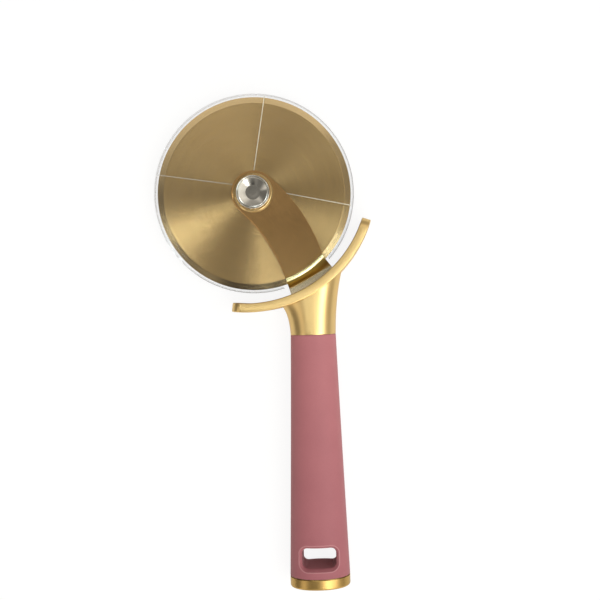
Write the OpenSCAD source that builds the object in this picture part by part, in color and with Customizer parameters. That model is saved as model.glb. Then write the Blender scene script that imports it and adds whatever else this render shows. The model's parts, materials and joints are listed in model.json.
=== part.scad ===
/* [Wheel] */
// Diameter of the cutting wheel
blade_d = 95; // [84:1:106]
// Thickness of the wheel
blade_t = 1; // [0.8:0.1:1.2]
// Width of the ground bevel at its edge
bevel_w = 3; // [2:0.1:4.5]
// Thickness left at the cutting edge
edge_t = 0.1; // [0.06:0.02:0.3]

/* [Hub] */
// Diameter of the axle barrel
axle_d = 8; // [6.5:0.1:8.6]
// Diameter of the screw inside the barrel
screw_d = 4; // [3:0.1:5]
// Wall of the nylon bush in the wheel
bush_wall = 1.1; // [0.8:0.1:1.3]
// Thickness of the flange of the bush
flange_t = 0.8; // [0.5:0.1:1]
// Thickness of the nylon washer behind the wheel
back_washer_t = 0.8; // [0.5:0.1:1.2]
// Thickness of the conical spring washer
spring_t = 0.35; // [0.25:0.05:0.5]
// Height that the spring washer rises from its edge to its hole
spring_rise = 0.35; // [0.2:0.05:0.5]
// Diameter of the axle's head under the cap
head_d = 13.6; // [11:0.2:14]
// Thickness of that head
head_t = 0.5; // [0.3:0.05:0.6]
// Diameter of the polished cap pressed over the head
cap_d = 16.4; // [15:0.2:18]
// Height of the cap above the arm
cap_h = 2.3; // [2:0.1:2.8]
// Width of the bead round the cap
bead_w = 0.9; // [0.6:0.1:1.2]
// Depth of the dish inside the bead
dish_depth = 0.9; // [0.5:0.1:1.2]
// Height of the screw head behind the wheel
rear_head_h = 1.5; // [1.2:0.1:2]

/* [Arm] */
// Thickness of the stamped strap
arm_t = 1.8; // [1.5:0.1:2.2]
// Distance from the middle of the wheel to the inner face of the strap
arm_gap = 2.4; // [2.3:0.1:3]
// Radius of the round end at the hub
hub_r = 10.9; // [10.4:0.1:12]
// Height that the hub boss is raised from the strap
boss_h = 0.8; // [0.5:0.1:1]
// Width of the rim left round the raised boss
boss_rim = 1.2; // [0.8:0.1:1.4]
// Distance from the middle line to the hollow edge at its waist
hollow_edge = 7.85; // [7.5:0.05:8.6]
// Distance from the middle line to the top of the bulging edge
bulge_edge = 14.4; // [13.8:0.1:14.8]
// Distance from the middle line to the bulging edge at the root
root_edge = 11.6; // [11.2:0.1:12.2]
// Width of the tongue where it meets the guard
tongue_w = 25; // [23:0.5:27]
// Outer radius of the bend in the joggle
bend_r = 3.6; // [3:0.1:4]
// Slope of the joggle
joggle_angle = 46; // [40:1:50]
// Width of the tab that goes into the neck
tab_w = 13; // [10:0.5:14]
// Length of the tab behind the face of the guard
tab_l = 11; // [9:0.5:12]
// Diameter of the two pins through the tab
pin_d = 2.5; // [1.5:0.1:3]

/* [Finger guard] */
// Gap from the edge of the wheel to the guard on the head's middle line
guard_gap = 5.5; // [4.5:0.1:8]
// Radius of the hollow face of the guard
guard_r = 59.1; // [56:0.5:64]
// Thickness of the guard plate
guard_t = 4.4; // [3.6:0.1:5]
// Depth of the guard from front to back
guard_depth = 21; // [20:0.5:24]
// Angle that the guard reaches to each side of the head's middle line
guard_angle = 39.6; // [34:0.2:42]
// Radius of the corners at the tips
tip_r = 5; // [3:0.5:7]
// Radius of the edges of the plate
guard_edge_r = 0.5; // [0.4:0.1:1.6]

/* [Neck and handle] */
// Angle between the head's middle line and the handle
head_tilt = 31.7; // [28:0.1:34]
// Distance from the collar to where the two lines cross
neck_l = 26.3; // [25:0.1:30]
// Distance from that crossing to the hollow face of the guard
guard_setback = 1.6; // [0.5:0.1:2.5]
// Width of the handle at the collar
collar_w = 22.2; // [21:0.2:25]
// Thickness of the handle at the collar
collar_t = 18.4; // [17.8:0.2:19.6]
// Width of the foot that the neck spreads to on the guard
foot_w = 32.5; // [30:0.5:38]
// Thickness of that foot
foot_t = 18.4; // [17.8:0.2:19.6]
// Width of the handle at its end
end_w = 29.4; // [28:0.2:32]
// Thickness of the handle at its end, which it rests on
end_t = 21; // [20:0.5:24]
// Length of the soft grip
grip_l = 118; // [110:1:135]
// Wall of the soft grip
grip_wall = 1.8; // [1.4:0.1:2.1]
// Length of the gold end cap
cap_l = 5.1; // [4.5:0.1:7]
// Radius of the edge of the end cap
cap_edge_r = 1.1; // [0.6:0.1:1.6]

/* [Hang slot] */
// Width of the slot across the handle
slot_w = 16.4; // [14:0.2:17]
// Height of the slot along the handle
slot_h = 9.6; // [7:0.2:10]
// Radius of the slot's corners
slot_r = 2.6; // [2:0.1:3.2]
// Distance from the slot to the end of the grip
slot_from_end = 5.2; // [5:0.1:8]
// Wall of soft grip that lines the slot
lining = 1; // [0.8:0.1:1.1]
// Width of the rounded lip at the mouth of the slot
lip = 1.4; // [0.8:0.1:1.8]

/* [Inside the handle] */
// Width of the spigot on the neck
spigot_w = 12.6; // [11:0.2:13.4]
// Thickness of the spigot
spigot_t = 9; // [8:0.2:9.6]
// Length of the spigot
spigot_l = 24; // [20:1:30]
// Width of the steel tang
tang_w = 9; // [7:0.5:10]
// Thickness of the steel tang
tang_t = 4; // [3:0.5:5]
// Length of the tang below the collar
tang_l = 88; // [70:1:92]
// Depth of the tang's socket above the collar
tang_socket = 6; // [4:0.5:7]
// Diameter of the cross pin through the tang
cross_pin_d = 3; // [2:0.1:4]
// Distance from the collar to the cross pin
cross_pin_at = 14; // [10:0.5:16]
// Diameter of the two legs that hold the end cap
leg_d = 1.9; // [1.4:0.1:2]
// Length of those legs
leg_l = 14; // [10:0.5:18]
// Thickness of the plate that carries the legs
plug_t = 1.6; // [1.2:0.1:2.2]
// Wall of the end cap round that plate
cap_wall = 2; // [1.4:0.1:2.6]

/* [Clear cover] */
// Thickness of the clear sheet
cover_t = 0.35; // [0.25:0.05:0.4]
// Gap between the wheel and the cover
cover_gap = 0.3; // [0.25:0.05:0.4]
// Thickness of the rim wall at the far side
rim_t = 0.8; // [0.6:0.1:1.2]
// Width of the lip outside the rim wall
cover_lip = 0.5; // [0.3:0.1:0.8]
// Width of the raised creases in the front sheet
crease_w = 0.5; // [0.4:0.1:0.8]
// Height of the creases
crease_h = 0.15; // [0.1:0.05:0.3]
// Distance that the creases' crossing lies past the hub
crease_past = 3.4; // [2:0.1:4.5]

/* [Hidden] */
$fn = 96;

// Clearances: faces that run on each other, pieces pushed together, and cuts that run past a face
run = 0.05;
fit = 0.03;
over = 1;
// Sides of the lofted handle and neck, and how square their oval section is
sides = 48;
oval = 2.1;

// Wheel and hub, seen from the hub, +X down the head's middle line towards the guard
blade_r = blade_d / 2;
axle_r = axle_d / 2;
bush_r = axle_r + run + bush_wall;
flange_r = bush_r + bush_wall;
bush_face = blade_t / 2 + flange_t;
strap_in = arm_gap;
strap_out = arm_gap + arm_t;
boss_in = strap_in + boss_h;
boss_out = strap_out + boss_h;
boss_r = hub_r - boss_rim;
back_washer_top = -blade_t / 2 - run;
spring_top = back_washer_top - back_washer_t - fit;
rear_face = spring_top - spring_t - spring_rise - fit;

// Arm: the joggle starts just inside the edge of the wheel
joggle_inset = 2.5;
joggle_start = blade_r - joggle_inset;
foot_r = bend_r / 2;
tongue_z = arm_t / 2;
waist_share = 0.54;
bulge_share = 0.5;
root_share = 1;
waist_u = waist_share * joggle_start;
bulge_u = bulge_share * joggle_start;
root_u = root_share * joggle_start;
// Both edges leave the round end where they cut just inside it
leave_r = hub_r - fit;
hollow_r = (pow(waist_u, 2) + pow(hollow_edge, 2) - pow(leave_r, 2)) / (2 * (leave_r - hollow_edge));
bulge_r = (pow(bulge_u, 2) + pow(bulge_edge, 2) - pow(leave_r, 2)) / (2 * (bulge_edge - leave_r));
flare_r = 60;

// Guard, in the same frame: its face crosses the middle line at guard_u
guard_u = blade_r + guard_gap;
guard_c = guard_u - guard_r;
guard_mid = guard_r + guard_t / 2;
tab_v = -2;
pin_pitch = tab_w / 2;
pin_u = guard_u + tab_l - pin_d - arm_t / 2;
pin_front = arm_t / 2 + pin_d / 2;

// Handle frame: origin at the middle of the collar, +Y towards the wheel, +Z the front
hub_y = neck_l + (guard_u - guard_setback) * cos(head_tilt);
hub_x = -(guard_u - guard_setback) * sin(head_tilt);
head_turn = head_tilt - 90;
guard_x = hub_x + guard_c * cos(head_turn);
guard_y = hub_y + guard_c * sin(head_turn);
handle_end = grip_l + cap_l;
slot_y = -(grip_l - slot_from_end - slot_h / 2);
swell_power = 1.1;
leg_x = (slot_w / 2 + lining + core_w(grip_l) / 2) / 2;

// Clear cover
cover_in = blade_t / 2 + cover_gap;
cover_out = cover_in + cover_t;
rim_r = blade_r + cover_gap;
cover_r = rim_r + rim_t + cover_lip;
cover_slot_r = flange_r + cover_gap;
// The way that each crease runs from their crossing, and the way from the hub to it
crease_angles = [80.3, 171.1, -12.2];
crossing_angle = 108;
mouth_w = tongue_w + 4 * cover_gap;
mouth_u = joggle_start - 2 * cover_gap;

// The part stands at rest on the back edge of the guard and the back of the end cap
rest = max(guard_depth, end_t) / 2;
left_x = hub_x - cover_r;
tip_angle = head_turn + guard_angle;
right_x = guard_x + (guard_r + guard_t) * cos(tip_angle);
top_y = hub_y + cover_r;
middle_x = (left_x + right_x) / 2;
middle_y = (top_y - handle_end) / 2;

function grip_w(s) = collar_w + (end_w - collar_w) * pow(max(s, 0) / grip_l, swell_power);
function grip_t(s) = collar_t + (end_t - collar_t) * max(s, 0) / grip_l;
function core_w(s) = grip_w(s) - 2 * grip_wall;
function core_t(s) = grip_t(s) - 2 * grip_wall;
function bent(v, p) = sign(v) * pow(abs(v), p);
function oval_xz(w, t, a) = [w / 2 * bent(cos(a), 2 / oval), t / 2 * bent(sin(a), 2 / oval)];
function arc(c, r, from, to, steps) =
    [for (i = [0:steps]) let (a = from + (to - from) * i / steps) [c[0] + r * cos(a), c[1] + r * sin(a)]];
function guard_at(x) = guard_y - sqrt(pow(guard_mid, 2) - pow(x - guard_x, 2));

// Skin over rings of n points each, with a flat or a peaked end
module skin(rings, peak = undef) {
    n = len(rings[0]);
    m = len(rings);
    points = [for (r = rings) each r];
    walls = [for (j = [0:m - 2], i = [0:n - 1]) let (k = (i + 1) % n)
        each [[j * n + i, (j + 1) * n + k, j * n + k], [j * n + i, (j + 1) * n + i, (j + 1) * n + k]]];
    start = [[for (i = [0:n - 1]) i]];
    finish = is_undef(peak) ? [[for (i = [n - 1:-1:0]) (m - 1) * n + i]]
        : [for (i = [0:n - 1]) [(m - 1) * n + (i + 1) % n, (m - 1) * n + i, m * n]];
    polyhedron(is_undef(peak) ? points : concat(points, [peak]), concat(start, walls, finish));
}

module at_rest() {
    translate([-middle_x, -middle_y, rest]) children();
}

module at_hub() {
    at_rest() translate([hub_x, hub_y]) rotate(head_turn) children();
}

module ring(outer, inner, bottom, top) {
    translate([0, 0, bottom]) linear_extrude(top - bottom) difference() {
        circle(r = outer);
        circle(r = inner);
    }
}

// Wheel
module blade() {
    color("#a8925c") at_hub() rotate_extrude() polygon([
        [bush_r, -blade_t / 2], [blade_r - bevel_w, -blade_t / 2], [blade_r, -edge_t / 2],
        [blade_r, edge_t / 2], [blade_r - bevel_w, blade_t / 2], [bush_r, blade_t / 2]]);
}

module hub_bush() {
    color("#efece2") at_hub() {
        ring(bush_r - fit, axle_r + run, -blade_t / 2, blade_t / 2);
        ring(flange_r, axle_r + run, blade_t / 2, bush_face);
    }
}

module front_washer() {
    color("#e4e1d6") at_hub() ring(flange_r - fit, axle_r + fit, bush_face + run, boss_in - fit);
}

module back_washer() {
    color("#e4e1d6") at_hub()
        ring(flange_r - fit, axle_r + fit, back_washer_top - back_washer_t, back_washer_top);
}

module spring_washer() {
    color("#b5b5b2") at_hub() rotate_extrude() polygon([
        [axle_r + fit, spring_top], [axle_r + fit, spring_top - spring_t],
        [flange_r - fit, spring_top - spring_rise - spring_t], [flange_r - fit, spring_top - spring_rise]]);
}

// Axle: a barrel through the arm with a flat head in front, bored from behind for the screw
module axle() {
    color("#bdbdb9") at_hub() difference() {
        union() {
            translate([0, 0, rear_face]) cylinder(r = axle_r, h = boss_out + 2 * fit - rear_face);
            translate([0, 0, boss_out + fit]) cylinder(d = head_d, h = head_t);
        }
        translate([0, 0, rear_face - over])
            cylinder(d = screw_d + 2 * fit, h = boss_out + over - rear_face - arm_t / 2);
    }
}

// Polished cap over that head: a bead stands round a shallow dish
module axle_cap() {
    bead_r = bead_w / 2;
    foot = boss_out + fit;
    top = foot + cap_h;
    dish_r = cap_d / 2 - bead_w;
    dish_ball = (pow(dish_r, 2) + pow(dish_depth, 2)) / (2 * dish_depth);
    dish_half = asin(dish_r / dish_ball);
    pocket = head_t + fit;
    color("#c8c8c4") at_hub() rotate_extrude() polygon(concat(
        [[0, foot + pocket], [head_d / 2 + fit, foot + pocket], [head_d / 2 + fit, foot],
         [cap_d / 2 - bead_r, foot]],
        arc([cap_d / 2 - bead_r, top - bead_r], bead_r, 0, 180, 12),
        arc([0, top - bead_r - dish_depth + dish_ball], dish_ball, dish_half - 90, -90, 12)));
}

module axle_screw() {
    head_r = cap_d / 2 - bead_w / 2;
    recess_r = screw_d / 2;
    color("#bcbcb8") at_hub() difference() {
        union() {
            rotate_extrude() polygon(concat(
                [[0, rear_face - fit], [head_r, rear_face - fit]],
                arc([head_r - rear_head_h / 2, rear_face - rear_head_h / 2], rear_head_h / 2, 0, -90, 8),
                [[0, rear_face - rear_head_h]]));
            translate([0, 0, rear_face - 2 * fit]) cylinder(d = screw_d, h = boss_in - rear_face);
        }
        // Slot for a screwdriver
        translate([-head_r + bead_w, -blade_t / 2, rear_face - rear_head_h - over])
            cube([2 * (head_r - bead_w), blade_t, over + rear_head_h / 2]);
    }
}

// Arm: outline of the strap, and the section that it is pressed to
module arm_outline() {
    away = 4 * guard_u;
    left_touch = [waist_u, -hollow_edge - hollow_r] / norm([waist_u, hollow_edge + hollow_r]);
    right_touch = [-bulge_u, bulge_r - bulge_edge] / norm([bulge_u, bulge_r - bulge_edge]);
    difference() {
        union() {
            circle(r = hub_r);
            intersection() {
                translate([bulge_u, bulge_edge - bulge_r]) circle(r = bulge_r);
                polygon([[0, 0], left_touch * away, [root_u, -away], [root_u, away], right_touch * away]);
            }
            intersection() {
                translate([guard_c, 0]) circle(r = guard_r - run);
                difference() {
                    translate([bulge_u + hub_r, -tongue_w / 2]) square([guard_r, tongue_w]);
                    translate([root_u, root_edge + flare_r]) circle(r = flare_r);
                }
            }
            translate([guard_u - guard_t, tab_v - tab_w / 2]) square([guard_t + tab_l, tab_w]);
        }
        translate([waist_u, -hollow_edge - hollow_r]) circle(r = hollow_r);
    }
}

module arm_section() {
    reach = guard_u + 2 * tab_l;
    steps = 6;
    bend_c = [joggle_start, strap_out - bend_r];
    knee = bend_c + bend_r * [sin(joggle_angle), cos(joggle_angle)];
    fall = knee[1] - tongue_z - foot_r * (1 - cos(joggle_angle));
    toe = [knee[0] + fall / tan(joggle_angle), knee[1] - fall];
    toe_c = toe + foot_r * [sin(joggle_angle), cos(joggle_angle)];
    polygon(concat(
        [[0, boss_out], [boss_r - boss_h, boss_out], [boss_r, strap_out]],
        arc(bend_c, bend_r, 90, 90 - joggle_angle, steps),
        arc(toe_c, foot_r, 270 - joggle_angle, 270, steps),
        [[reach, tongue_z], [reach, -tongue_z]],
        arc(toe_c, foot_r + arm_t, 270, 270 - joggle_angle, steps),
        arc(bend_c, bend_r - arm_t, 90 - joggle_angle, 90, steps),
        [[boss_r - boss_h, strap_in], [boss_r - 2 * boss_h, boss_in], [0, boss_in]]));
}

module arm() {
    color("#8a6a3c") at_hub() difference() {
        intersection() {
            translate([0, 0, -arm_t]) linear_extrude(boss_out + 2 * arm_t) arm_outline();
            rotate_extrude() arm_section();
        }
        cylinder(r = axle_r + fit, h = boss_out + over);
        tongue_pin_places() cylinder(d = pin_d + 2 * fit, h = 4 * arm_t, center = true);
    }
}

module tongue_pin_places() {
    for (side = [-1, 1]) translate([pin_u, tab_v + side * pin_pitch / 2]) children();
}

// The two pins are driven in from the back and stop short of the front
module tongue_pins() {
    bottom = -collar_t / 2 + pin_d / 2;
    color("#9c9c98") at_hub() tongue_pin_places()
        translate([0, 0, bottom]) cylinder(d = pin_d, h = pin_front - bottom);
}

// Finger guard: a curved plate with round edges, swept as rings from tip to tip
function round_in(r, d) = d >= r ? 0 : r - sqrt(pow(r, 2) - pow(r - d, 2));
function plate_ring(turn, d) =
    let (squeeze = round_in(guard_edge_r, d),
         half_t = guard_t / 2 - squeeze,
         half_h = guard_depth / 2 - round_in(tip_r, d) - squeeze,
         c = min(guard_edge_r, half_t - fit),
         section = [for (q = [0:3]) each arc(
             [(q == 0 || q == 3 ? 1 : -1) * (half_t - c), (q < 2 ? 1 : -1) * (half_h - c)],
             c, 90 * q, 90 * q + 90, 4)])
    [for (p = section) [(guard_mid + p[0]) * cos(turn), (guard_mid + p[0]) * sin(turn), p[1]]];

module guard_plate() {
    arc_l = guard_mid * guard_angle * PI / 180;
    edge_steps = 5;
    corner_steps = 6;
    middle_steps = 9;
    tip_steps = [for (i = [0:edge_steps - 1]) guard_edge_r / 2 * (1 - cos(90 * i / edge_steps)),
                 for (i = [2:corner_steps]) tip_r * (1 - cos(90 * i / corner_steps))];
    d_list = concat(tip_steps, [for (i = [1:middle_steps]) tip_r + (arc_l - tip_r) * i / middle_steps]);
    turns = [for (d = d_list) [guard_angle * (1 - d / arc_l), d]];
    all = concat(turns, [for (i = [len(turns) - 2:-1:0]) [-turns[i][0], turns[i][1]]]);
    translate([guard_c, 0]) skin([for (t = all) plate_ring(t[0], t[1])]);
}

// Neck: each line of it rises from the collar and turns out to meet the guard
module neck() {
    rows = 9;
    rise_share = 0.7;
    lean = 1.04;
    function line_at(a, t) =
        let (b = oval_xz(collar_w, collar_t, a),
             e = oval_xz(foot_w, foot_t, a),
             cx = b[0] * lean,
             cy = rise_share * guard_at(cx))
        pow(1 - t, 2) * [b[0], 0, b[1]] + 2 * t * (1 - t) * [cx, cy, b[1]]
            + pow(t, 2) * [e[0], guard_at(e[0]), e[1]];
    rings = [for (j = [0:rows]) [for (i = [0:sides - 1]) line_at(-360 * i / sides, j / rows)]];
    skin(rings, [0, guard_at(0), 0]);
}

module bar(w, t, from, to) {
    translate([-w / 2, from, -t / 2]) cube([w, to - from, t]);
}

module guard_casting() {
    color("#c9a24e") difference() {
        union() {
            at_hub() guard_plate();
            at_rest() {
                neck();
                bar(spigot_w, spigot_t, -spigot_l, collar_t / 4);
            }
        }
        at_hub() {
            translate([guard_u - guard_t, tab_v - tab_w / 2 - fit, -arm_t / 2 - fit])
                cube([guard_t + tab_l + fit, tab_w + 2 * fit, arm_t + 2 * fit]);
            tongue_pin_places() translate([0, 0, -guard_depth])
                cylinder(d = pin_d + 2 * fit, h = guard_depth + pin_front + fit);
        }
        at_rest() {
            bar(tang_w + 2 * fit, tang_t + 2 * fit, -spigot_l - over, tang_socket + fit);
            cross_pin(fit);
        }
    }
}

module cross_pin(gap) {
    half = core_t(cross_pin_at) / 2 - grip_wall / 2;
    translate([0, -cross_pin_at, 0]) cylinder(d = cross_pin_d + 2 * gap, h = 2 * (half + gap), center = true);
}

module tang() {
    color("#a5a5a2") at_rest() difference() {
        bar(tang_w, tang_t, -tang_l, tang_socket);
        cross_pin(fit);
    }
}

module tang_pin() {
    color("#9c9c98") at_rest() cross_pin(0);
}

// Handle: the grip and the core are the same swelling oval, one wall apart
module handle_loft(inset, from, to) {
    rows = 8;
    skin([for (j = [0:rows]) let (s = from + (to - from) * j / rows)
        [for (i = [0:sides - 1])
            let (p = oval_xz(grip_w(s) - 2 * inset, grip_t(s) - 2 * inset, 360 * i / sides))
            [p[0], -s, p[1]]]]);
}

module slot_outline(grow) {
    w = slot_w / 2 - slot_r;
    h = slot_h / 2 - slot_r;
    for (x = [-w, w], y = [-h, h]) translate([x, y]) circle(r = slot_r + grow, $fn = 32);
    square([2 * w, slot_h + 2 * grow], center = true);
    square([slot_w + 2 * grow, 2 * h], center = true);
}

module slot_hole(grow) {
    translate([0, slot_y, -end_t]) linear_extrude(2 * end_t) slot_outline(grow);
}

// Each mouth of the slot spreads to a lip
module slot_mouths() {
    depth = 2 * lip;
    for (side = [0, 1]) mirror([0, 0, side]) translate([0, slot_y, end_t / 2 - depth]) hull() {
        linear_extrude(fit) slot_outline(0);
        translate([0, 0, depth]) linear_extrude(over) slot_outline(lip);
    }
}

module core_body() {
    difference() {
        handle_loft(grip_wall, fit, grip_l - fit);
        slot_hole(lining);
        bar(spigot_w + 2 * fit, spigot_t + 2 * fit, -spigot_l - fit, over);
        bar(tang_w + 2 * fit, tang_t + 2 * fit, -tang_l - fit, over);
        cross_pin(fit);
        cap_legs(fit);
    }
}

module half_space(side) {
    reach = 2 * grip_l;
    translate([-reach / 2, -reach, side > 0 ? 0 : -reach]) cube([reach, 2 * reach, reach]);
}

module core_front() {
    color("#d8d6d0") at_rest() intersection() {
        core_body();
        half_space(1);
    }
}

module core_rear() {
    color("#cfcdc7") at_rest() intersection() {
        core_body();
        half_space(-1);
    }
}

module handle_grip() {
    color("#a9606c") at_rest() difference() {
        handle_loft(0, fit, grip_l - fit);
        difference() {
            handle_loft(grip_wall - fit, -over, grip_l + over);
            slot_hole(lining - fit);
        }
        slot_hole(0);
        slot_mouths();
    }
}

// End cap: an oval cup whose rim meets the grip, over a plate with two legs
module cap_loft(inset, from, to, edge) {
    steps = 5;
    rows = concat([[from, 0]], [for (i = [0:steps]) let (a = 90 * i / steps)
        [to - edge + edge * sin(a), edge * (1 - cos(a))]]);
    skin([for (r = rows) [for (i = [0:sides - 1])
        let (p = oval_xz(end_w - 2 * inset - 2 * r[1], end_t - 2 * inset - 2 * r[1], 360 * i / sides))
        [p[0], -r[0], p[1]]]]);
}

module end_cap() {
    color("#bf963f") at_rest() difference() {
        cap_loft(0, grip_l, handle_end, cap_edge_r);
        translate([0, over, 0]) cap_loft(cap_wall, grip_l, grip_l + plug_t + 2 * fit + over, fit);
    }
}

module cap_legs(gap) {
    root = plug_t / 2;
    for (side = [-1, 1]) translate([side * leg_x, -grip_l - root, 0]) rotate([-90, 0, 0])
        cylinder(d = leg_d + 2 * gap, h = root + leg_l + gap);
}

module cap_plug() {
    color("#3c3a3a") at_rest() {
        cap_loft(cap_wall + fit, grip_l + fit, grip_l + plug_t, fit);
        cap_legs(0);
    }
}

// Clear cover: two sheets, open towards the handle, joined by a rim round the far half
module cover_sheet() {
    difference() {
        circle(r = cover_r);
        circle(r = cover_slot_r);
        translate([0, -cover_slot_r]) square([cover_r + over, 2 * cover_slot_r]);
        translate([mouth_u, -mouth_w / 2]) square([cover_r, mouth_w]);
    }
}

module cover_rim() {
    difference() {
        circle(r = rim_r + rim_t);
        circle(r = rim_r);
        translate([0, -cover_r - over]) square(2 * (cover_r + over));
    }
}

module cover_front() {
    color("#dfe6ea", 0.35) at_hub() {
        translate([0, 0, cover_in]) linear_extrude(cover_t) cover_sheet();
        linear_extrude(cover_in) cover_rim();
        intersection() {
            translate([0, 0, cover_out - cover_t / 2]) linear_extrude(cover_t / 2 + crease_h)
                rotate(-head_turn) translate(crease_past * [cos(crossing_angle), sin(crossing_angle)])
                    for (a = crease_angles) rotate(a) translate([0, -crease_w / 2])
                        square([2 * cover_r, crease_w]);
            linear_extrude(2 * cover_out) difference() {
                circle(r = rim_r);
                circle(r = cover_slot_r + crease_w);
            }
        }
    }
}

module cover_rear() {
    color("#dfe6ea", 0.35) at_hub() {
        translate([0, 0, -cover_out]) linear_extrude(cover_t) cover_sheet();
        translate([0, 0, -cover_in]) linear_extrude(cover_in) cover_rim();
    }
}

blade();
hub_bush();
front_washer();
back_washer();
spring_washer();
axle();
axle_cap();
axle_screw();
arm();
tongue_pins();
guard_casting();
tang();
tang_pin();
core_front();
core_rear();
handle_grip();
end_cap();
cap_plug();
cover_front();
cover_rear();
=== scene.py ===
import json
import math

import bmesh
import bpy
from mathutils import Matrix, Vector


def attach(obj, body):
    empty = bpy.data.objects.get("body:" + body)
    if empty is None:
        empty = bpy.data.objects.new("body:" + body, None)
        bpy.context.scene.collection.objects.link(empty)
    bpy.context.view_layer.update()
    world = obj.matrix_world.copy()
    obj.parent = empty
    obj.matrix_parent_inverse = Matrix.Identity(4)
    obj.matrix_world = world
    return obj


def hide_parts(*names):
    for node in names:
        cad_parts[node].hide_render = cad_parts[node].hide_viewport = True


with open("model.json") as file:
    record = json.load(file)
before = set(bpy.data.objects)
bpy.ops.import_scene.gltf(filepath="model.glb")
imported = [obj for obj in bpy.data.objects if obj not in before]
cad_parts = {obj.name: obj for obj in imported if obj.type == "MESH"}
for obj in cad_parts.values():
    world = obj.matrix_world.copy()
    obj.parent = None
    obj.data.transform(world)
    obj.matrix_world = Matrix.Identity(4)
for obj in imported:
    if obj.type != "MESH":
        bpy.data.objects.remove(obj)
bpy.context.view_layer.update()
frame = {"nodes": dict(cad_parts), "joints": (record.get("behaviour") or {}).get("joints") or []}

# Wheel: a stainless disc, brushed in circles while it spins and tinted champagne gold. The bevel on both
# sides of its edge is ground last and stays brighter than the faces. A bush is pressed into its middle.
mm, hair = 0.001, 1e-7
joints = {joint["name"]: joint for joint in frame["joints"]}
hub = Vector(joints["wheel_spin"]["pos_m"])
pull = joints["cover_pull"]["axis"]
head_turn = math.atan2(-pull[1], -pull[0])
hub_place = Matrix.Translation(hub) @ Matrix.Rotation(head_turn, 4, "Z")


class Wire:
    """A value in a material: sums on wires add Math nodes."""

    def __init__(self, tree, socket=None):
        self.tree, self.socket = tree, socket

    def node(self, kind, settings=None, inputs=None, output=0):
        """Adds a node. Its settings are set first, then the values or wires of its sockets."""
        made = self.tree.nodes.new("ShaderNode" + kind)
        for name, value in (settings or {}).items():
            setattr(made, name, value)
        for name, value in (inputs or {}).items():
            if isinstance(value, Wire):
                self.tree.links.new(value.socket, made.inputs[name])
            else:
                made.inputs[name].default_value = value
        return Wire(self.tree, made.outputs[output])

    def maths(self, operation, *terms):
        return self.node("Math", {"operation": operation}, dict(enumerate(terms)))

    def __add__(self, other):
        return self.maths("ADD", self, other)

    def __sub__(self, other):
        return self.maths("SUBTRACT", self, other)

    def __rsub__(self, other):
        return self.maths("SUBTRACT", other, self)

    def __mul__(self, other):
        return self.maths("MULTIPLY", self, other)

    def __truediv__(self, other):
        return self.maths("DIVIDE", self, other)

    def __pow__(self, other):
        return self.maths("POWER", self, other)

    def __abs__(self):
        return self.maths("ABSOLUTE", self)

    __radd__ = __add__
    __rmul__ = __mul__

    def larger(self, other):
        return self.maths("MAXIMUM", self, other)

    def under(self, limit, soft):
        """1 where the value is under the limit, 0 where it is over it by soft."""
        return self.node("MapRange", {"interpolation_type": "SMOOTHSTEP"}, {
            "Value": self, "From Min": limit + soft, "From Max": limit, "To Min": 0.0, "To Max": 1.0})

    def past(self, limit, soft):
        """0 where the value is under the limit, 1 where it is over it by soft."""
        return 1.0 - self.under(limit, soft)

    def blend(self, low, high):
        """From one colour to the other as the value goes from 0 to 1."""
        low, high = (end if isinstance(end, Wire) else (*end, 1.0) for end in (low, high))
        return self.node("Mix", {"data_type": "RGBA"}, {0: self, 6: low, 7: high}, 2)


def new_finish(name, steady):
    """A material with the sockets that stay the same all over, and the place of its points as a wire."""
    finish = bpy.data.materials.new(name)
    finish.use_nodes = True
    shader = finish.node_tree.nodes["Principled BSDF"]
    for socket, value in steady.items():
        shader.inputs[socket].default_value = value
    return finish, Wire(finish.node_tree).node("TexCoord", output="Object")


def feed(finish, inputs):
    """Joins what changes over the surface to the shader of a finish."""
    shader = finish.node_tree.nodes["Principled BSDF"]
    for socket, wire in inputs.items():
        finish.node_tree.links.new(wire.socket, shader.inputs[socket])


def split(vector):
    parts = vector.node("SeparateXYZ", inputs={0: vector}).socket.node.outputs
    return [Wire(vector.tree, part) for part in parts]


def join(x, y, z):
    return x.node("CombineXYZ", inputs={0: x, 1: y, 2: z})


def noise(vector, scale=1.0, detail=3.0, rough=0.5):
    return vector.node("TexNoise", inputs={
        "Vector": vector, "Scale": scale, "Detail": detail, "Roughness": rough})


def bump(height, strength, depth):
    return height.node("Bump", inputs={"Height": height, "Strength": strength, "Distance": depth})


def from_hub(point):
    """Distance from the hub's middle line, never quite 0, and the direction away from it as two wires."""
    x, y, _ = split(point)
    x, y = x - hub.x, y - hub.y
    away = (x * x + y * y) ** 0.5 + hair
    return away, x / away, y / away


def ringed(point, across, along, detail=2.0):
    """Noise in rings round the hub: short waves across the rings, long ones along them."""
    away, right, up = from_hub(point)
    return noise(join(away * across, right * along, up * along), detail=detail)


def turns(sides):
    return [math.tau * i / sides for i in range(sides)]


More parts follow.
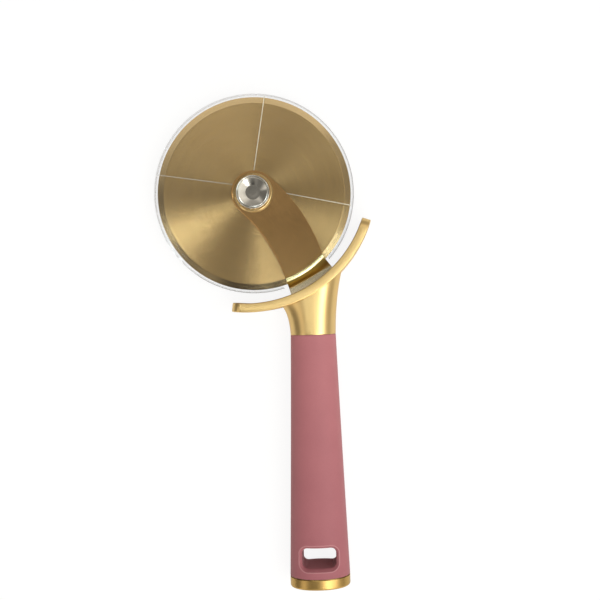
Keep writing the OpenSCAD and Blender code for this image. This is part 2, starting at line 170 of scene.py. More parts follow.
def draw_out(name, rings, ends="closed"):
    """Draws a tube out ring by ring, in millimetres.

    Its ends are closed to a point or joined to each other, or it is a cup, closed at the last ring only.
    """
    bpy.ops.object.select_all(action="DESELECT")
    bpy.ops.mesh.primitive_circle_add(vertices=len(rings[0]), radius=mm)
    piece = bpy.context.object
    piece.name = piece.data.name = name
    bpy.ops.object.mode_set(mode="EDIT")
    bpy.ops.mesh.select_all(action="SELECT")
    mesh = bmesh.from_edit_mesh(piece.data)
    for vert, point in zip(mesh.verts, rings[0]):
        vert.co = Vector(point) * mm
    order = {i: i for i in range(len(rings[0]))}
    for ring in rings[1:] + ([rings[0]] if ends == "joined" else []):
        bpy.ops.mesh.extrude_region_move()
        mesh = bmesh.from_edit_mesh(piece.data)
        mesh.verts.index_update()
        drawn = {}
        for vert in mesh.verts:
            if vert.select:
                old = next(e.other_vert(vert) for e in vert.link_edges if not e.other_vert(vert).select)
                drawn[vert.index] = order[old.index]
                vert.co = Vector(ring[order[old.index]]) * mm
        order = drawn
    if ends in ("closed", "cup"):
        bpy.ops.mesh.extrude_region_move()
        bpy.ops.mesh.merge(type="CENTER")
    if ends == "closed":
        bpy.ops.mesh.select_all(action="DESELECT")
        mesh = bmesh.from_edit_mesh(piece.data)
        mesh.verts.ensure_lookup_table()
        for vert in mesh.verts[:len(rings[0])]:
            vert.select_set(True)
        mesh.select_flush(True)
        bpy.ops.mesh.extrude_region_move()
        bpy.ops.mesh.merge(type="CENTER")
    bpy.ops.mesh.select_all(action="SELECT")
    bpy.ops.mesh.remove_doubles(threshold=hair)
    bpy.ops.mesh.normals_make_consistent(inside=False)
    bpy.ops.object.mode_set(mode="OBJECT")
    return piece


def turned(name, stations, sides, ends="closed"):
    """A piece turned about the hub: stations are radius and height."""
    rings = [[(r * math.cos(a), r * math.sin(a), z) for a in turns(sides)] for r, z in stations]
    return draw_out(name, rings, ends)


def only(piece):
    bpy.ops.object.select_all(action="DESELECT")
    piece.select_set(True)
    bpy.context.view_layer.objects.active = piece


def work(piece, kind, **settings):
    """Adds a modifier with its settings to a piece, and applies it."""
    only(piece)
    step = piece.modifiers.new("step", kind)
    for name, value in settings.items():
        setattr(step, name, value)
    bpy.ops.object.modifier_apply(modifier=step.name)


def settle(piece, place):
    """Moves a piece to its place, and the place into its mesh."""
    only(piece)
    piece.matrix_world = place
    bpy.ops.object.transform_apply(location=True, rotation=True, scale=True)


def fit_on(piece, finish, place, body, node, smooth=30.0):
    """Settles a mesh, smooths its edges up to an angle, gives it its finish and body, and hides the CAD node
    it stands in for.
    """
    settle(piece, place)
    bpy.ops.object.shade_smooth_by_angle(angle=math.radians(smooth))
    work(piece, "WEIGHTED_NORMAL", keep_sharp=True)
    piece.data.materials.clear()
    piece.data.materials.append(finish)
    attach(piece, body)
    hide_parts(node)


wheel_r, wheel_half, bevel_w, bore_r, wheel_sides = 47.5, 0.5, 3.0, 5.15, 288
face_r, edge_half, edge_flat, edge_break = 30.0, 0.07, 0.04, 0.02
upper = [(bore_r, wheel_half), (face_r, wheel_half), (wheel_r - bevel_w, wheel_half),
         (wheel_r - edge_break, edge_half), (wheel_r, edge_flat)]
wheel = turned("cutting_wheel", [(r, -z) for r, z in upper] + upper[::-1], wheel_sides, "joined")

wheel_gold, point = new_finish("wheel_gold", {
    "Metallic": 1.0, "Anisotropic": 0.88, "Anisotropic Rotation": 0.25})
away = from_hub(point)[0]
fine = ringed(point, across=3000.0, along=0.8, detail=1.0)
broad = ringed(point, across=1000.0, along=1.6)
cloud = noise(point, scale=38.0, detail=2.0)
ground = away.past((wheel_r - bevel_w) * mm, 0.08 * mm)
face_tint = (fine * 0.55 + broad * 0.25 + cloud * 0.2).blend((0.52, 0.368, 0.158), (0.65, 0.463, 0.204))
edge_tint = fine.blend((0.60, 0.45, 0.22), (0.72, 0.56, 0.31))
face_rough = 0.13 + away * 0.9 + fine * 0.06 + broad * 0.06
edge_rough = 0.1 + fine * 0.05
feed(wheel_gold, {
    "Base Color": ground.blend(face_tint, edge_tint),
    "Roughness": face_rough * (1.0 - ground) + ground * edge_rough,
    "Normal": bump((fine * 0.4 + broad * 0.8) * (1.0 - ground), strength=0.26, depth=0.1 * mm)})
fit_on(wheel, wheel_gold, hub_place, "wheel", "blade", smooth=4.0)

# Bush and washers: turned from natural nylon, with a faint ring pattern from the lathe. The bush runs with
# the wheel, and the two washers stay with the arm.
nylon, point = new_finish("nylon", {"Specular IOR Level": 0.45})
lathe = ringed(point, across=7000.0, along=2.0)
haze = noise(point, scale=420.0)
feed(nylon, {
    "Base Color": haze.blend((0.74, 0.72, 0.66), (0.86, 0.84, 0.78)),
    "Roughness": 0.42 + lathe * 0.12,
    "Normal": bump(lathe, strength=0.2, depth=0.06 * mm)})


def coat(node, finish):
    """Gives a CAD node its finish."""
    mesh = frame["nodes"][node].data
    mesh.materials.clear()
    mesh.materials.append(finish)


for node in ("hub_bush", "front_washer", "back_washer"):
    coat(node, nylon)

# Inner steel parts: the turned axle, the conical spring washer that takes up the play, the flat tang, and the
# pins pressed through tab and tang. They are bare steel with fine drawn lines, and mostly out of sight.
plain_steel, point = new_finish("plain_steel", {"Metallic": 1.0})
x, y, z = split(point)
grain = noise(join(x * 900.0, y * 5200.0, z * 900.0))
dull = noise(point, scale=160.0)
feed(plain_steel, {
    "Base Color": dull.blend((0.36, 0.355, 0.345), (0.52, 0.515, 0.50)),
    "Roughness": 0.32 + grain * 0.14,
    "Normal": bump(grain, strength=0.15, depth=0.06 * mm)})
for node in ("spring_washer", "axle", "tongue_pins", "tang", "tang_pin"):
    coat(node, plain_steel)

# Axle cap: a pressed stainless cap, polished bright, snapped over the head of the axle. A full round bead
# runs round a thin groove and a shallow dish with a small witness mark from the press in its middle.
cap_r, cap_mouth, cap_foot, cap_top, cap_wall, cap_sides = 8.2, 6.85, 5.03, 7.33, 0.3, 128
heel_r, bead_r, dish_r, dish_low, witness_r = 0.24, 0.28, 3.6, 5.9, 2.1


def steps(first, last, count):
    """Even steps from one value to another."""
    return [first + (last - first) * i / count for i in range(count + 1)]


def arc(centre, radius, first, last, count):
    """Points of a round corner between two turns in degrees, as radius and height."""
    return [(centre[0] + radius * math.cos(a), centre[1] + radius * math.sin(a))
            for a in map(math.radians, steps(first, last, count))]


foot = [(cap_mouth, cap_foot), (cap_r - 0.3, cap_foot)]
foot += arc((cap_r - 0.25, cap_foot + 0.25), heel_r, -80, 0, 8)
bead = arc((cap_r - 0.29, cap_top - 0.3), bead_r, 5, 175, 20)
groove = [(r, cap_top - down) for r, down in ((7.56, 0.5), (7.46, 0.6), (7.28, 0.6), (7.12, 0.52))]
dish = [(r, dish_low + 0.25 * (r - dish_r) + 0.008 * (r - dish_r) ** 2)
        for r in (6.95, 6.4, 5.8, 5.2, 4.6, 4.1, 3.75)] + [(dish_r, dish_low)]
witness = [(r, dish_low - down) for r, down in ((witness_r, 0.0), (1.9, 0.01), (1.2, 0.015), (0.4, 0.02))]
axle_cap = turned("axle_cap_polished", foot + bead + groove + dish + witness, cap_sides, "cup")
work(axle_cap, "SOLIDIFY", thickness=cap_wall * mm, offset=-1.0)

polished, point = new_finish("polished_steel", {"Metallic": 1.0})
swirl = ringed(point, across=6000.0, along=3.0)
smear = noise(point, scale=260.0)
feed(polished, {
    "Base Color": smear.blend((0.56, 0.55, 0.50), (0.68, 0.67, 0.62)),
    "Roughness": 0.07 + swirl * 0.04 + smear * 0.06,
    "Normal": bump(smear, strength=0.04, depth=0.1 * mm)})
fit_on(axle_cap, polished, hub_place, "handle", "axle_cap", smooth=12.0)

# Axle screw: a low cheese head in polished stainless behind the wheel, with a milled slot for a screwdriver
# and a rounded edge. Its shank runs up the inside of the axle.
head_r, head_top, head_end, head_edge, head_sides = 7.95, -2.14, -3.61, 0.75, 96
shank_r, shank_top = 2.0, 2.9
driver_slot, driver_slot_at = (15.0, 1.0, 2.0), head_end - 0.25
speck = 2e-6


def carve(piece, tool, operation):
    """Cuts or joins with another piece, and merges the points that the cut leaves double."""
    work(piece, "BOOLEAN", operation=operation, solver="EXACT", object=tool)
    bpy.data.objects.remove(tool)
    bpy.ops.object.mode_set(mode="EDIT")
    bpy.ops.mesh.select_all(action="SELECT")
    bpy.ops.mesh.remove_doubles(threshold=speck)
    bpy.ops.mesh.quads_convert_to_tris(quad_method="BEAUTY", ngon_method="BEAUTY")
    bpy.ops.mesh.dissolve_degenerate(threshold=speck)
    bpy.ops.object.mode_set(mode="OBJECT")


def block(sides, height=0.0):
    """A block with these sides, its middle at a height over the origin, in millimetres."""
    bpy.ops.object.select_all(action="DESELECT")
    bpy.ops.mesh.primitive_cube_add(size=1, location=(0, 0, height * mm))
    bpy.ops.transform.resize(value=[side * mm for side in sides])
    bpy.ops.object.transform_apply(location=True, rotation=True, scale=True)
    return bpy.context.object


shank = [(shank_r, shank_top), (shank_r, head_top)]
head = [(6.4, head_top), (head_r - 0.1, head_top)]
head += arc((head_r - head_edge, head_end + head_edge), head_edge, 10, -90, 8)
head += [(5.6, head_end), (4.2, head_end)]
screw = turned("axle_screw_head", shank + head, head_sides)
carve(screw, block(driver_slot, driver_slot_at), "DIFFERENCE")
fit_on(screw, polished, hub_place, "handle", "axle_screw", smooth=35.0)

# Arm: one stamped strap of steel in front of the wheel, coloured bronze. Its boss is pressed up round the
# axle, it bends down to the middle plane just past the wheel, and its tab goes into the neck. Tumbling has
# broken its edges, and stamping has rolled the front one on the left further over.
boss_r, boss_top, arm_middle = 8.9, 5.0, 4.1
bend_top, bend_foot, tab_face, bend_line, bend_turn = 47.6, 50.5, 52.9, 49.7, math.radians(-62.9)
edge_w, broken, rolled = 1.0, 0.25, 0.6
rolled_x, rolled_y, rolled_from, fade_in, rolled_to, fade_out = -0.85, -0.53, 12, 5, 45, 3


def reach(vert):
    """How far out from the hub a point lies, in millimetres."""
    return (vert.co.xy - hub.xy).length / mm


def rise(vert):
    """How high over the hub a point lies, in millimetres."""
    return (vert.co.z - hub.z) / mm


arm = bpy.data.objects.new("arm_strap", frame["nodes"]["arm"].data.copy())
bpy.context.collection.objects.link(arm)
only(arm)
bpy.ops.object.mode_set(mode="EDIT")
bpy.ops.mesh.select_all(action="SELECT")
bpy.ops.mesh.remove_doubles(threshold=speck)
bpy.ops.mesh.dissolve_limited(angle_limit=math.radians(0.4))
bpy.ops.mesh.normals_make_consistent(inside=False)
mesh = bmesh.from_edit_mesh(arm.data)
# The foot of the bend becomes a straight line across the strap, and what lies beside it moves along in part.
for vert in mesh.verts:
    r = reach(vert)
    if bend_top < r < tab_face:
        outward = vert.co.xy - hub.xy
        slant = outward.angle(Vector((math.cos(bend_turn), math.sin(bend_turn))))
        far_end = bend_top if r < bend_foot else tab_face
        part = (r - far_end) / (bend_foot - far_end)
        vert.co.xy += outward.normalized() * (bend_line / math.cos(slant) - bend_foot) * part * mm
weight = mesh.edges.layers.float.new("bevel_weight_edge")
for edge in mesh.edges:
    if len(edge.link_faces) == 2 and edge.calc_face_angle() > math.radians(50):
        edge[weight] = broken
        wall = min(edge.link_faces, key=lambda side: abs(side.normal.z)).normal
        if min(map(rise, edge.verts)) > arm_middle and wall.x * rolled_x + wall.y * rolled_y > 0.2:
            r = max(map(reach, edge.verts))
            begun, left = (r - rolled_from) / fade_in, (rolled_to - r) / fade_out
            edge[weight] += rolled * min(max(begun, 0), 1) * min(max(left, 0), 1)
    if all(abs(reach(v) - boss_r) < 0.1 and abs(rise(v) - boss_top) < 0.1 for v in edge.verts):
        edge[weight] = broken
bmesh.update_edit_mesh(arm.data)
bpy.ops.object.mode_set(mode="OBJECT")
work(arm, "BEVEL", width=edge_w * mm, segments=4, limit_method="WEIGHT", use_clamp_overlap=False)


def along_and_across(point, middle, turn):
    """Distances along and across a line that runs out from middle at this turn."""
    x, y, _ = split(point)
    x, y = x - middle.x, y - middle.y
    return x * math.cos(turn) + y * math.sin(turn), y * math.cos(turn) - x * math.sin(turn)


arm_bronze, point = new_finish("arm_bronze", {"Metallic": 1.0})
z = split(point)[2]
along, across = along_and_across(point, hub, head_turn)
away = from_hub(point)[0]
satin = noise(join(along * 260.0, across * 1500.0, z * 260.0), detail=2.0)
blotch = noise(point, scale=90.0)
# The bend and the rim of the boss are blended towards a pale colour: painted highlights.
bend_highlight = away.past(44.7 * mm, 0.3 * mm) * (away.under(47.2 * mm, 2.2 * mm) * 0.8 + 0.2)
boss_rim_highlight = 0.3 * away.past(8.3 * mm, 0.2 * mm) * away.under(9.5 * mm, 0.4 * mm)
# The tab and the foot of the bend are painted grey: a painted reflection.
tab = away.past(49.9 * mm, 0.4 * mm)
# Besides the random satin and blotches, the bronze is painted lighter near the hub and darker towards the
# bend: painted light.
tint = (satin * 0.3 + blotch * 0.3 + 0.7 - along * 18.0).blend((0.34, 0.203, 0.077), (0.60, 0.362, 0.145))
painted_highlight, tab_reflection_grey = (0.74, 0.68, 0.36), (0.46, 0.38, 0.25)
feed(arm_bronze, {
    "Base Color": tab.blend((bend_highlight + boss_rim_highlight).blend(tint, painted_highlight), tab_reflection_grey),
    "Roughness": 0.16 + satin * 0.06 + blotch * 0.04,
    "Normal": bump(satin, strength=0.05, depth=0.08 * mm)})
fit_on(arm, arm_bronze, Matrix.Identity(4), "handle", "arm", smooth=28.0)

# Finger guard and neck: one zinc casting, plated in satin gold. The guard is a curved plate with rounded
# corners and softened edges. The neck rises from an oval collar and spreads into the guard's back, and a
# spigot below the collar goes into the core.
handle_place = Matrix.Translation(Vector((23.088, 1.984, 10.5)) * mm)
guard_r, guard_t, guard_depth, guard_half, guard_c = 59.1, 4.4, 21.0, 39.6, -6.1
guard_mid = guard_r + guard_t / 2
guard_l = guard_mid * math.radians(guard_half)
corner_r, corner_steps, crown, guard_edge = 5, 8, 0.15, 0.45
long_cuts, thick_cuts = 16, 5
casting = block((2 * guard_l, guard_t, guard_depth))
casting.name = casting.data.name = "guard_and_neck"
bpy.ops.object.mode_set(mode="EDIT")
bpy.ops.mesh.select_all(action="DESELECT")
mesh = bmesh.from_edit_mesh(casting.data)
for edge in mesh.edges:
    one, other = (v.co for v in edge.verts)
    edge.select_set(abs(one.y - other.y) > 1 * mm)
bpy.ops.mesh.bevel(offset=corner_r * mm, offset_type="OFFSET", segments=corner_steps, affect="EDGES")
for i in range(1 - long_cuts, long_cuts):
    bpy.ops.mesh.select_all(action="SELECT")
    bpy.ops.mesh.bisect(plane_co=(i / long_cuts * (guard_l - corner_r) * mm, 0, 0), plane_no=(1, 0, 0))
for i in range(1 - thick_cuts, thick_cuts):
    bpy.ops.mesh.select_all(action="SELECT")
    bpy.ops.mesh.bisect(plane_co=(0, i / thick_cuts * guard_t / 2 * mm, 0), plane_no=(0, 1, 0))
mesh = bmesh.from_edit_mesh(casting.data)
for vert in mesh.verts:
    vert.co.z -= math.copysign(crown * mm, vert.co.z) * (vert.co.y / (guard_t / 2 * mm)) ** 2
bpy.ops.object.mode_set(mode="OBJECT")
work(casting, "BEVEL", width=guard_edge * mm, segments=3, angle_limit=math.radians(60), limit_method="ANGLE")
work(casting, "SIMPLE_DEFORM", deform_method="BEND", deform_axis="Z", angle=math.radians(2 * guard_half))
quarter = 90 if sum(v.co.y for v in casting.data.vertices) > 0 else -90
guard_place = (hub_place @ Matrix.Translation(((guard_c + guard_mid) * mm, 0, 0))
               @ Matrix.Rotation(math.radians(quarter), 4, "Z"))

collar_w, collar_t, foot_w, foot_t, neck_rows, neck_sides = 22.2, 18.4, 32.5, 18.4, 16, 72
flare, hold_back = 1.04, 0.7
spigot_w, spigot_t, spigot_l, spigot_power = 12.6, 9.0, 24.0, 20 / 3
centre = (handle_place.inverted() @ hub_place @ Vector((guard_c * mm, 0, 0))) / mm


def oval(w, t, y, power, sides):
    """A ring across the handle, an ellipse at power 2 and squarer above it."""
    return [(w / 2 * math.copysign(abs(math.cos(a)) ** (2 / power), math.cos(a)), y,
             t / 2 * math.copysign(abs(math.sin(a)) ** (2 / power), math.sin(a))) for a in turns(sides)]


def back_of_guard(x):
    return centre.y - math.sqrt(guard_mid ** 2 - (x - centre.x) ** 2)


def neck_line(turn, t):
    """A point on the curve from the collar to the back of the guard: t goes from 0 to 1 along it."""
    start_x, start_z = collar_w / 2 * math.cos(turn), collar_t / 2 * math.sin(turn)
    end_x, end_z = foot_w / 2 * math.cos(turn), foot_t / 2 * math.sin(turn)
    near, between, far = (1 - t) ** 2, 2 * t * (1 - t), t * t
    return (near * start_x + between * start_x * flare + far * end_x,
            between * hold_back * back_of_guard(start_x * flare) + far * back_of_guard(end_x),
            (near + between) * start_z + far * end_z)


spigot = [oval(spigot_w, spigot_t, y, spigot_power, neck_sides) for y in (-spigot_l, -0.02)]
collar = [oval(collar_w * share, collar_t * share, y, 2, neck_sides)
          for share, y in ((0.975, 0.0), (0.992, 0.06), (1.0, 0.24))]
spread = [[neck_line(a, (row + 1) / neck_rows) for a in turns(neck_sides)] for row in range(neck_rows)]
neck = draw_out("neck", spigot + collar + spread)
settle(neck, handle_place)
settle(casting, guard_place)
carve(casting, neck, "UNION")

# The end cap, which has this finish too, is a shade darker.
guard_gold, point = new_finish("guard_gold", {"Metallic": 1.0})
x, y, z = split(point)
pearl = noise(point, scale=2600.0, detail=2.0)
drift = noise(point, scale=55.0, detail=2.0)
brushed = noise(join(x * 500.0, y * 500.0, z * 3000.0))
plated = (drift * 0.6 + pearl * 0.4).blend((0.84, 0.58, 0.22), (0.95, 0.71, 0.34))
feed(guard_gold, {
    "Base Color": y.under(-100 * mm, 10 * mm).blend(plated, (0.60, 0.39, 0.13)),
    "Roughness": 0.26 + drift * 0.06 + pearl * 0.05,
    "Normal": bump(pearl * 0.6 + brushed * 0.4, strength=0.045, depth=0.08 * mm)})
fit_on(casting, guard_gold, Matrix.Identity(4), "handle", "guard_casting")

# Core: two halves moulded in hard pale plastic, which close round the tang and fill the grip. The flow of
# the plastic shows as faint streaks along them.
core_plastic, point = new_finish("core_plastic", {"Specular IOR Level": 0.5})
x, y, z = split(point)
flow = noise(join(x * 300.0, y * 60.0, z * 300.0))
feed(core_plastic, {
    "Base Color": flow.blend((0.60, 0.59, 0.55), (0.70, 0.69, 0.65)),
    "Roughness": 0.34 + flow * 0.1,
    "Normal": bump(flow, strength=0.08, depth=0.08 * mm)})
for node in ("core_front", "core_rear"):
    coat(node, core_plastic)

# Grip: soft-touch skin in dusty pink, moulded over the core and swelling towards its end. Where the hang
# slot goes through, the skin turns in at a crisp brink, which carries a painted highlight, and slopes to the
# wall.
grip_l, grip_wall, grip_power, grip_sides = 118.0, 1.8, 2.1, 96
end_w, end_t, swell = 29.4, 21.0, 1.1
slot_w, slot_h, slot_r, slot_y, slot_wall = 16.4, 9.6, 2.6, -108.0, 0.97
lip, brink_r, wall_r, lead_in, clear = 1.7, 0.5, 2.1, 1.2, 16.0
entry, fall, upright = math.radians(18), math.radians(50), math.radians(90)


def grip_size(s):
    """Width and thickness of the grip, s from the collar."""
    share = max(s, 0.0) / grip_l
    return collar_w + (end_w - collar_w) * share ** swell, collar_t + (end_t - collar_t) * share


def grip_ring(s, inset):
    w, t = grip_size(s)
    return oval(w - 2 * inset, t - 2 * inset, -s, grip_power, grip_sides)


def skin_height(x, y):
    w, t = grip_size(-y)
    return t / 2 * (1 - min(abs(2 * x / w), 0.999) ** grip_power) ** (1 / grip_power)


def slot_ring(offset, height):
    """The slot's outline let out by offset, with points close enough for its height to follow the skin."""
    corners = [[(right * (slot_w / 2 - slot_r) + (slot_r + offset) * math.cos(a),
                 up * (slot_h / 2 - slot_r) + (slot_r + offset) * math.sin(a))
                for a in map(math.radians, steps(first, first + 90, 8))]
               for right, up, first in ((1, 1, 0), (-1, 1, 90), (-1, -1, 180), (1, -1, 270))]
    outline = []
    for corner, after in zip(corners, corners[1:] + corners[:1]):
        (from_x, from_y), (to_x, to_y) = corner[-1], after[0]
        side = list(zip(steps(from_x, to_x, 12), steps(from_y, to_y, 12)))
        outline += corner + side[1:-1]
    return [(x, slot_y + y, height(x, slot_y + y)) for x, y in outline]


top_edge = [(0.03, 0.22), (0.09, 0.07), (0.25, 0.0)]
flank = [(s, 0.0) for s in steps(0, grip_l, 24)[1:-1]]
hem = [(grip_l - back, inset) for back, inset in (
    (0.5, 0.0), (0.33, 0.08), (0.27, 0.25), (0.27, 0.6), (0.03, 0.62))]
grip = draw_out("soft_grip", [grip_ring(s, inset) for s, inset in top_edge + flank + hem])
inside = draw_out("hollow", [
    grip_ring(s, grip_wall - 0.03) for s in [-1.0] + steps(0, grip_l, 8) + [grip_l + 1]])

# From the skin inwards: a lead-in, the round of the brink, and the round that ends upright in the wall.
roll = [(lip - brink_r * math.sin(a), brink_r * (1 - math.cos(a))) for a in steps(entry, fall, 4)]
wall_out = wall_r * (1 - math.sin(fall))
wall_down = roll[-1][1] + (roll[-1][0] - wall_out) * math.tan(fall)
roll += [(wall_r * (1 - math.sin(a)), wall_down + wall_r * (math.cos(fall) - math.cos(a)))
         for a in steps(fall, upright, 4)]
roll.insert(0, (roll[0][0] + lead_in * math.cos(entry), roll[0][1] - lead_in * math.sin(entry)))
mouth = [slot_ring(roll[0][0], lambda x, y: clear)]
mouth += [slot_ring(out, lambda x, y, down=down: skin_height(x, y) - down) for out, down in roll]
other_mouth = [[(x, y, -z) for x, y, z in ring] for ring in mouth[::-1]]
punch = draw_out("slot_punch", mouth + other_mouth)
sleeve = draw_out("sleeve", [slot_ring(slot_wall, lambda x, y: end) for end in (-clear, clear)])
carve(inside, sleeve, "DIFFERENCE")
carve(grip, inside, "DIFFERENCE")
carve(grip, punch, "DIFFERENCE")

soft_grip, point = new_finish("soft_grip", {
    "Specular IOR Level": 0.35, "Sheen Weight": 0.12, "Sheen Roughness": 0.5})
x, y, z = split(point)
peel = noise(point, scale=1900.0)
mottle = noise(point, scale=65.0, detail=4.0, rough=0.6)
# The grip's end at the end cap is painted dark: painted shade in the seam.
seam_shade = y.under(-115.7 * mm, 0.1 * mm)
# The pink is painted lighter towards the guard and darker towards the end cap: painted light.
pink = (mottle * 0.35 + peel * 0.15 + y * 4.0 + 0.55).blend((0.329, 0.101, 0.1245), (0.568, 0.21, 0.229))
slot_at = handle_place.translation
past_x = (abs(x - slot_at.x) - (slot_w / 2 - slot_r) * mm).larger(0.0)
past_y = (abs(y - slot_at.y - slot_y * mm) - (slot_h / 2 - slot_r) * mm).larger(0.0)
beyond = (past_x * past_x + past_y * past_y) ** 0.5 - (slot_r + lip) * mm
# A pale line along the brink: a painted highlight.
brink_highlight = abs(beyond + 0.1 * mm).under(0.08 * mm, 0.3 * mm)
feed(soft_grip, {
    "Base Color": seam_shade.blend((brink_highlight * 0.55).blend(pink, (0.66, 0.33, 0.35)), (0.06, 0.018, 0.02)),
    "Roughness": 0.56 + mottle * 0.12,
    "Normal": bump(peel, strength=0.12, depth=0.12 * mm)})
fit_on(grip, soft_grip, handle_place, "handle", "handle_grip", smooth=12.5)

# Cap plug: moulded in black plastic with a fine grain from the mould. Its two legs go into the end of the
# core, and it holds the end cap.
plug_plastic, point = new_finish("plug_plastic", {"Specular IOR Level": 0.5})
spark = noise(point, scale=1200.0)
feed(plug_plastic, {
    "Base Color": spark.blend((0.012, 0.012, 0.012), (0.03, 0.03, 0.03)),
    "Roughness": 0.38 + spark * 0.12,
    "Normal": bump(spark, strength=0.1, depth=0.08 * mm)})
coat("cap_plug", plug_plastic)

# End cap: a pressed oval cup with a rounded edge and a flat closed face, plated in the same satin gold as
# the guard. It meets the grip in a fine seam, darkened by painted shade on the grip's end.
cap_round = 1.1
cap_floor = [(1.66, 7.0), (1.66, 2.3), (1.5, 2.0)]
cap_lip = [(0.0, 2.0), (0.0, 0.62), (0.12, 0.6), (0.12, 0.2), (0.17, 0.06), (0.3, 0.0)]
cap_side = [(2.0, 0.0), (3.9, 0.0)]
cap_roll = [(4.0 + cap_round * math.sin(a), cap_round * (1 - math.cos(a)))
            for a in map(math.radians, steps(0, 90, 7)[1:])]
cap_face = [(5.1, 2.4), (5.1, 6.0)]
end_cap = draw_out("end_cap_gold", [
    oval(end_w - 2 * inset, end_t - 2 * inset, -(grip_l + s), grip_power, grip_sides)
    for s, inset in cap_floor + cap_lip + cap_side + cap_roll + cap_face])
fit_on(end_cap, guard_gold, handle_place, "handle", "end_cap")

# Wheel cover: two thin clear sheets snapped together at the rim, open towards the handle. Folding has left
# three fine whitened creases in the front sheet, which run out from one point near the hub.
off_hub, off_turn = 3.4, math.radians(108)
crossing = hub + Vector((off_hub * math.cos(off_turn), off_hub * math.sin(off_turn), 0)) * mm
cover_clear, point = new_finish("cover_clear", {"Roughness": 0.07})
x, y, z = split(point)
away = from_hub(point)[0]
creases = []
for turn, near, far in ((80.3, 0.75, 0.95), (171.1, 0.45, 0.45), (-12.2, 0.35, 0.95)):
    ahead, beside = along_and_across(point, crossing, math.radians(turn))
    line = abs(beside).under(0.12 * mm, 0.15 * mm) * ahead.past(0.0, 0.5 * mm)
    creases.append(line * (near + (far - near) * 21.0 * ahead))
crease = creases[0].larger(creases[1]).larger(creases[2])
crease = crease * away.under(47.8 * mm, 0.2 * mm) * z.past(11.0 * mm, 0.2 * mm)
# The rim and two lines round it are made more opaque, so that the mirror-like sheet shows them as painted
# reflections.
rim = away.past(47.9 * mm, 0.2 * mm)
painted_rim_lines = abs(away - 48.8 * mm).under(0.12 * mm, 0.1 * mm) + away.past(49.9 * mm, 0.2 * mm)
ripple = noise(point, scale=70.0, detail=2.0)
fleck = noise(join(x * 900.0, y * 900.0, z), detail=2.0)
feed(cover_clear, {
    "Base Color": crease.blend((0.95, 0.96, 0.97), (1.0, 0.93, 0.72)),
    "Metallic": 1.0 - crease,
    "Alpha": 0.03 + rim * 0.05 + painted_rim_lines * 0.2 + crease * (0.6 + fleck * 0.5),
    "Normal": bump(ripple, strength=0.3, depth=0.6 * mm)})
for node in ("cover_front", "cover_rear"):
    coat(node, cover_clear)

# Studio: a pale table, an even sky with brighter and darker patches for the metal to mirror, soft lamps with
# the strongest two at the right and below, and a camera straight above.
bpy.ops.object.select_all(action="DESELECT")
bpy.ops.mesh.primitive_plane_add(size=6, location=(0, 0, -0.2 * mm))
table = bpy.context.object
table.name = "table"
table_white, start = new_finish("table_white", {
    "Base Color": (0.86, 0.86, 0.85, 1.0), "Roughness": 0.9, "Specular IOR Level": 0.0})
tree = table_white.node_tree
seen = start.node("LightPath", output="Is Camera Ray")
plain = Wire(tree, tree.nodes["Principled BSDF"].outputs[0])
glow = start.node("Emission", inputs={"Strength": 1.08})
mixed = start.node("MixShader", inputs={0: seen * 0.82, 1: plain, 2: glow})
tree.links.new(mixed.socket, tree.nodes["Material Output"].inputs["Surface"])
table.data.materials.append(table_white)

world = bpy.data.worlds.new("studio")
bpy.context.scene.world = world
world.use_nodes = True
start = Wire(world.node_tree)
seen = start.node("LightPath", output="Is Camera Ray")
east, north = split(start.node("TexCoord", output="Generated"))[:2]


def apart(patch_east, patch_north):
    """How far a direction in the sky is from the middle of a patch."""
    return ((east - patch_east) ** 2.0 + (north - patch_north) ** 2.0) ** 0.5


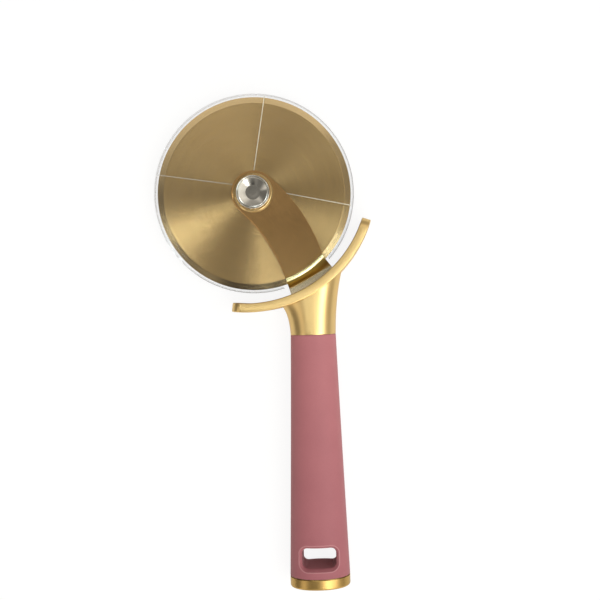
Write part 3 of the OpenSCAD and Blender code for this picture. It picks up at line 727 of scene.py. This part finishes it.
ring = apart(-0.108, 0.125)
top_band = (north - east * 0.3).past(0.24, 0.12) * north.under(0.48, 0.12) * east.past(-0.52, 0.12)
right_arc = ring.past(0.43, 0.06) * east.past(0.0, 0.12) * ring.under(0.9, 0.1) * north.under(0.36, 0.1)
left_shade = east.under(-0.42, 0.2)
left_strip = east.past(-0.84, 0.08) * east.under(-0.62, 0.1) * north.under(0.0, 0.08)
window = apart(0.52, -0.62).under(0.22, 0.3)
bevel_shade = apart(-0.12, -0.26).under(0.1, 0.1)
low_glow = north.under(-0.95, 0.35)
flat_shade = apart(-0.06, 0.03).under(0.09, 0.12)
arm_shade = apart(0.29, 0.13).under(0.08, 0.08)
sky = (0.395 + 0.6 * top_band + 0.8 * right_arc - 0.2 * left_shade + 0.9 * left_strip + 0.6 * window
       - 0.35 * bevel_shade + 0.45 * low_glow - 0.2 * flat_shade - 0.165 * arm_shade)
backdrop = world.node_tree.nodes["Background"].inputs
world.node_tree.links.new((seen * (1.0 - sky) + sky).socket, backdrop["Strength"])
world.node_tree.links.new(seen.blend((1.0, 0.93, 0.84), (1.0, 1.0, 1.0)).socket, backdrop["Color"])

# Each lamp has its direction from the hub, its distance and size in metres, its watts and its colour.
for name, way, far, size, power, colour in (
        ("lamp_right", (0.56, -0.20, 0.80), 0.85, (0.40, 0.30), 1.1, (0.82, 0.94, 1.0)),
        ("lamp_bend", (0.28, -0.50, 0.80), 0.90, (0.16, 0.56), 0.85, (0.96, 0.99, 1.0)),
        ("lamp_edge", (0.20, -0.09, 0.97), 0.90, (0.10, 0.06), 0.1, (0.84, 0.95, 1.0)),
        ("spot_right", (0.13, 0.02, 0.99), 0.90, (0.07, 0.10), 0.06, (0.92, 0.98, 1.0)),
        ("spot_below", (-0.075, -0.133, 0.988), 0.90, (0.07, 0.12), 0.16, (0.92, 0.98, 1.0)),
        ("spot_left", (-0.339, 0.006, 0.94), 0.90, (0.08, 0.16), 0.25, (0.92, 0.98, 1.0))):
    light = bpy.data.lights.new(name, "AREA")
    light.shape, light.size, light.size_y, light.energy, light.color = "RECTANGLE", *size, power, colour
    lamp = bpy.data.objects.new(name, light)
    bpy.context.collection.objects.link(lamp)
    lamp.location = hub + far * Vector(way).normalized()
    lamp.rotation_euler = (hub - lamp.location).to_track_quat("-Z", "Y").to_euler()

camera = bpy.data.objects.new("camera", bpy.data.cameras.new("camera"))
bpy.context.collection.objects.link(camera)
camera.data.lens, camera.data.sensor_width = 51.8, 36.0
camera.data.shift_x, camera.data.shift_y = -0.0872, 0.0005
camera.location = (0.0428, 0.0181, 0.4355)
camera.rotation_euler = (0, 0, math.radians(-1.706))
bpy.context.scene.camera = camera
bpy.context.scene.view_settings.view_transform = "Standard"
